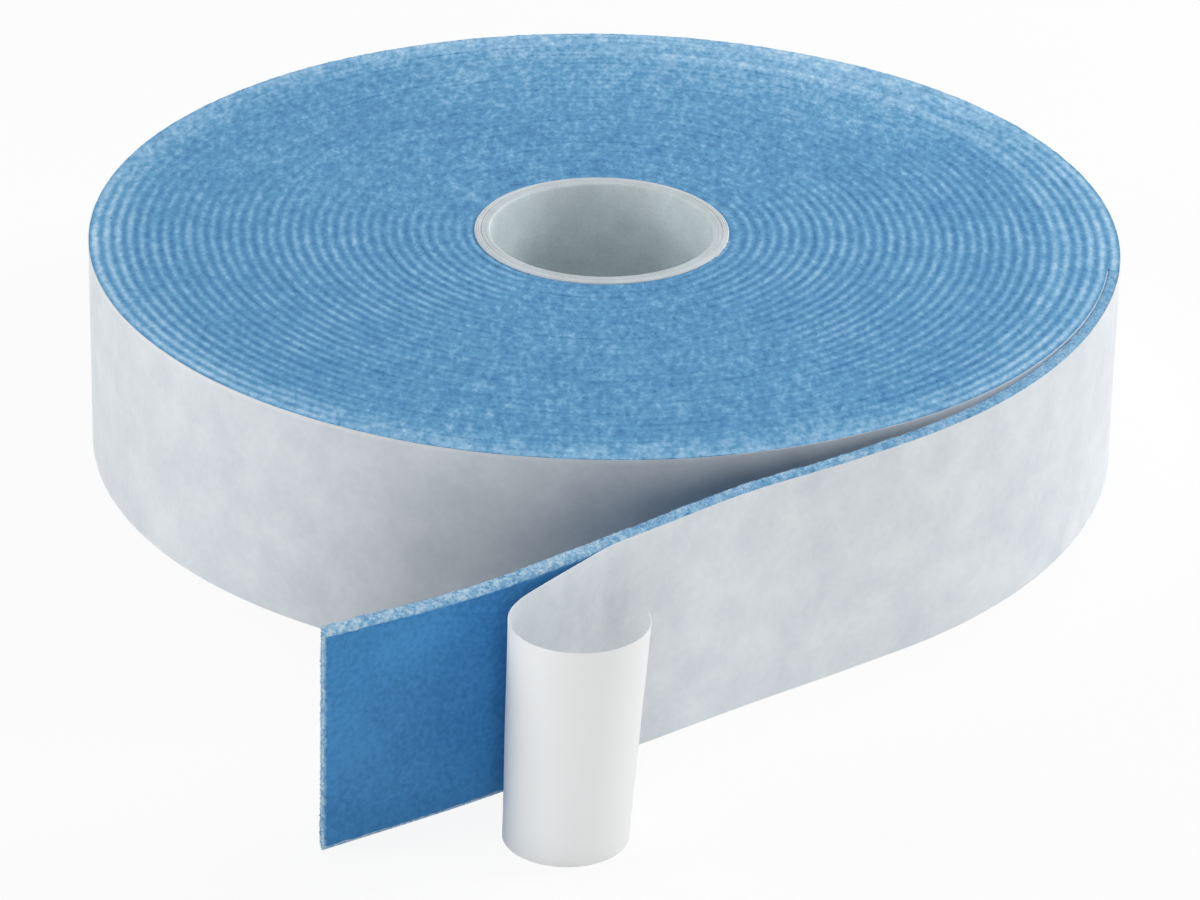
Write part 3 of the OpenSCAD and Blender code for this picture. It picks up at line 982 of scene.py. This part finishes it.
class OBJECT_OT_roll_tufts(bpy.types.Operator):
    """Strews torn cells over the cut faces of the foam"""

    bl_idname = "object.roll_tufts"
    bl_label = "Foam tufts"

    def execute(self, context):
        strip = context.scene.roll_strip
        tail = Tail(strip, context.scene.roll_tail)
        tree = bpy.data.node_groups.get("Foam tufts") or tuft_tree()
        foam = stocked("Open-cell foam", foam_material, context.scene.roll_colours)

        # Name, piece that they stand on, tufts in a square millimetre, and how torn they look
        strewn = (
            ("wound_tufts_inner", "wound_foam_inner", 0.2, 0.2),
            ("wound_tufts_middle", "wound_foam_middle", 0.2, 0.2),
            ("wound_tufts_outer", "wound_foam_outer", 0.2, 0.2),
            ("tail_tufts_near", "tail_foam_near", 3.0, 0.7),
            ("tail_tufts_far", "tail_foam_far", 5.0, 0.9))
        made = []
        for seed, (name, base, density, fluff) in enumerate(strewn):
            settings = {
                "Density": density / MM ** 2, "Length": 0.3 * MM, "Radius": 0.12 * MM, "Seed": seed,
                "Fluff": fluff, "Material": foam}
            made.append(grown(name, tree, settings, bpy.data.objects[base].data))
        for piece in made[:3]:
            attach(piece, "roll")
        bend_tail(tail, *made[3:])
        return {"FINISHED"}


def turned_ring(name, profile, sides, material):
    """A closed profile of radius and height, turned about the axis of the roll."""
    around = np.linspace(0, math.tau, sides, endpoint=False)
    profile = np.array(profile)
    n = len(profile)
    r, z = np.tile(profile[:, 0], sides), np.tile(profile[:, 1], sides)
    angle = np.repeat(around, n)
    points = np.column_stack([r * np.cos(angle), r * np.sin(angle), z])
    faces = [
        (i * n + j, (i + 1) % sides * n + j, (i + 1) % sides * n + (j + 1) % n, i * n + (j + 1) % n)
        for i in range(sides) for j in range(n)]
    return new_piece(name, points, faces, material)


def ply_edge(inner, outer, plies, z, sign, lip):
    """Points across the cut edge of a tube, with a worn inner lip and a nick between its plies."""
    nick, half = 0.12 * MM, 0.07 * MM
    soft = 0.25 * MM
    worn = np.radians([0, 30, 60, 90])
    points = [
        (inner + lip * (1 - math.cos(a)), z - sign * 1.5 * lip * (1 - math.sin(a))) for a in worn]
    for k in range(1, plies):
        r = inner + (outer - inner) * k / plies
        points += [(r - half, z), (r, z - sign * nick), (r + half, z)]
    return points + [(outer - soft, z), (outer, z - sign * soft)]


# How far the core stands above the cut edge of the foam
CORE_PROUD = 0.5 * MM


class OBJECT_OT_roll_core(bpy.types.Operator):
    """Makes the core tube of grey board and white plies, and finishes the tape on it"""

    bl_idname = "object.roll_core"
    bl_label = "Core"

    def execute(self, context):
        strip = context.scene.roll_strip
        colours = context.scene.roll_colours
        grey = board_material("Grey chipboard", colours.board, 0.7, colours.lining, strip.bore)
        white = board_material("White paper plies", colours.plies, 0.5)
        tape = board_material("Tissue tape", colours.tape, 0.4)

        # Node, inside and outside radius, plies, material, and how far the inner lip is worn
        apart = 0.01 * MM
        rings = (
            ("core_board", strip.bore, strip.board - apart, 2, grey, 0.5 * MM),
            ("core_wrap", strip.board + apart, strip.core, 3, white, 0.1 * MM))
        sides, levels, sharp = 240, 42, 0.6
        for name, inner, outer, plies, material, lip in rings:
            top = ply_edge(inner, outer, plies, strip.width + CORE_PROUD, 1, lip)
            bottom = ply_edge(inner, outer, plies, 0, -1, lip)[::-1]
            wall = [(inner, z) for z in np.linspace(0, strip.width, levels)[2:-2]]
            piece = turned_ring(name + "_tube", [*wall, *top, *bottom], sides, material)
            co = np.array([v.co for v in piece.data.vertices])
            piece.data.vertices.foreach_set("co", self.seam(co, strip, name).ravel())
            piece.data.set_sharp_from_angle(angle=sharp)
            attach(piece, "roll")
            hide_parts(name)
        frame["nodes"]["start_tape"].data.materials.clear()
        frame["nodes"]["start_tape"].data.materials.append(tape)
        return {"FINISHED"}

    def seam(self, points, strip, name):
        """Opens the spiral seam of the innermost ply on the wall of the bore."""
        if name != "core_board":
            return points
        start, slope = math.radians(-20), 0.7
        wide, depth = 0.7 * MM, 0.1 * MM
        angle = np.arctan2(points[:, 1], points[:, 0])
        spiral = start - (strip.width - points[:, 2]) / (strip.bore * slope)
        off = np.abs((angle - spiral + math.pi) % math.tau - math.pi) * strip.bore
        on_wall = np.hypot(points[:, 0], points[:, 1]) < strip.bore + 0.01 * MM
        deep = depth * np.clip(1 - off / wide, 0, 1) * on_wall
        points[:, :2] *= (1 + deep / strip.bore)[:, None]
        return points


class OBJECT_OT_roll_stage(bpy.types.Operator):
    """Sets up the pale floor, the soft light and the camera"""

    bl_idname = "object.roll_stage"
    bl_label = "Stage"

    def execute(self, context):
        scene = context.scene
        scene.view_settings.view_transform = "Standard"
        half, sunk = 4.0, -0.05 * MM
        corners = [(-half, -half, sunk), (half, -half, sunk), (half, half, sunk), (-half, half, sunk)]
        new_piece("floor", np.array(corners), [(0, 1, 2, 3)], self.floor_material())
        self.light_world(scene)

        # Name, place, side in metres and power in watts
        lamps = (
            ("overhead softbox", (0.0, 0.1, 1.4), 0.7, 5.6),
            ("left softbox", (-1.29, -0.11, 0.52), 0.7, 8.5),
            ("front softbox", (0.0, -1.36, 0.26), 0.6, 5.4),
            ("right softbox", (1.12, 0.3, 0.78), 0.6, 12.0),
            ("back softbox", (0.68, 1.18, 0.34), 0.6, 4.5))
        for name, place, size, power in lamps:
            data = bpy.data.lights.new(name, "AREA")
            data.shape, data.size, data.energy = "SQUARE", size, power
            lamp = bpy.data.objects.new(name, data)
            lamp.location = place
            lamp.rotation_euler = (-Vector(place)).to_track_quat("-Z", "Y").to_euler()
            scene.collection.objects.link(lamp)
        scene.camera = self.camera()
        scene.collection.objects.link(scene.camera)
        return {"FINISHED"}

    def seen_plainly(self, tree):
        """Node that is 1 for rays from the camera and for what gloss and glass show, and 0 for light."""
        path = add(tree, "ShaderNodeLightPath").outputs
        seen = add(tree, "ShaderNodeMath", {"operation": "MAXIMUM"}, {
            0: path["Is Camera Ray"], 1: path["Is Glossy Ray"]})
        return add(tree, "ShaderNodeMath", {"operation": "MAXIMUM"}, {
            0: seen, 1: path["Is Transmission Ray"]})

    def floor_material(self):
        """Seamless paper: nearly white where it is seen, and it keeps the shadow."""
        made, tree = new_material("Seamless paper")
        matt = add(tree, "ShaderNodeBsdfDiffuse", None, {"Color": (0.9, 0.9, 0.9, 1)})
        glow = add(tree, "ShaderNodeEmission", None, {"Strength": 1.0})
        seen = add(tree, "ShaderNodeMath", {"operation": "MULTIPLY"}, {0: self.seen_plainly(tree), 1: 0.9})
        mixed = add(tree, "ShaderNodeMixShader", None, {0: seen, 1: matt, 2: glow})
        add(tree, "ShaderNodeOutputMaterial", None, {"Surface": mixed})
        return made

    def light_world(self, scene):
        """Even white surroundings, plain white where the camera or a gloss sees them."""
        scene.world = bpy.data.worlds.new("Studio")
        scene.world.use_nodes = True
        tree = scene.world.node_tree
        tree.nodes.clear()
        ambient = add(tree, "ShaderNodeBackground", None, {"Color": (1, 1, 1, 1), "Strength": 0.05})
        white = add(tree, "ShaderNodeBackground", None, {"Color": (1, 1, 1, 1), "Strength": 1.0})
        mixed = add(tree, "ShaderNodeMixShader", None, {0: self.seen_plainly(tree), 1: ambient, 2: white})
        add(tree, "ShaderNodeOutputWorld", None, {"Surface": mixed})

    def camera(self):
        """Camera at the photograph's place, aimed near the axis and rolled by about a degree."""
        data = bpy.data.cameras.new("camera")
        data.sensor_width = 36
        data.lens = 172.31
        data.clip_start, data.clip_end = 0.05, 50
        made = bpy.data.objects.new("camera", data)
        place, aim = Vector((0, -1.186915, 0.589091)), Vector((0.00056, 0, -0.005606))
        turn = (aim - place).to_track_quat("-Z", "Y").to_matrix().to_4x4()
        roll = Matrix.Rotation(math.radians(1.106), 4, "Z")
        made.matrix_world = Matrix.Translation(place) @ turn @ roll
        return made


OPERATORS = (
    OBJECT_OT_roll_stage, OBJECT_OT_roll_core, OBJECT_OT_roll_wound_foam, OBJECT_OT_roll_wound_layers,
    OBJECT_OT_roll_tail_foam, OBJECT_OT_roll_tail_film, OBJECT_OT_roll_tail_liner, OBJECT_OT_roll_tufts)


class VIEW3D_PT_foam_roll(bpy.types.Panel):
    """Lists the steps that build the roll"""

    bl_label = "Foam strip roll"
    bl_idname = "VIEW3D_PT_foam_roll"
    bl_space_type = "VIEW_3D"
    bl_region_type = "UI"
    bl_category = "Foam roll"

    def draw(self, context):
        for operator in OPERATORS:
            self.layout.operator(operator.bl_idname)


GROUPS = (StripSizes, TailSizes, RollColours)


def register():
    for cls in (*GROUPS, *OPERATORS, VIEW3D_PT_foam_roll):
        bpy.utils.register_class(cls)
    bpy.types.Scene.roll_strip = PointerProperty(type=StripSizes)
    bpy.types.Scene.roll_tail = PointerProperty(type=TailSizes)
    bpy.types.Scene.roll_colours = PointerProperty(type=RollColours)


def unregister():
    for name in ("roll_strip", "roll_tail", "roll_colours"):
        delattr(bpy.types.Scene, name)
    for cls in reversed((*GROUPS, *OPERATORS, VIEW3D_PT_foam_roll)):
        bpy.utils.unregister_class(cls)


def main():
    register()
    bpy.ops.object.roll_stage()
    bpy.ops.object.roll_core()
    bpy.ops.object.roll_wound_foam()
    bpy.ops.object.roll_wound_layers()
    bpy.ops.object.roll_tail_foam()
    bpy.ops.object.roll_tail_film()
    bpy.ops.object.roll_tail_liner()
    bpy.ops.object.roll_tufts()


if __name__ == "__main__":
    main()
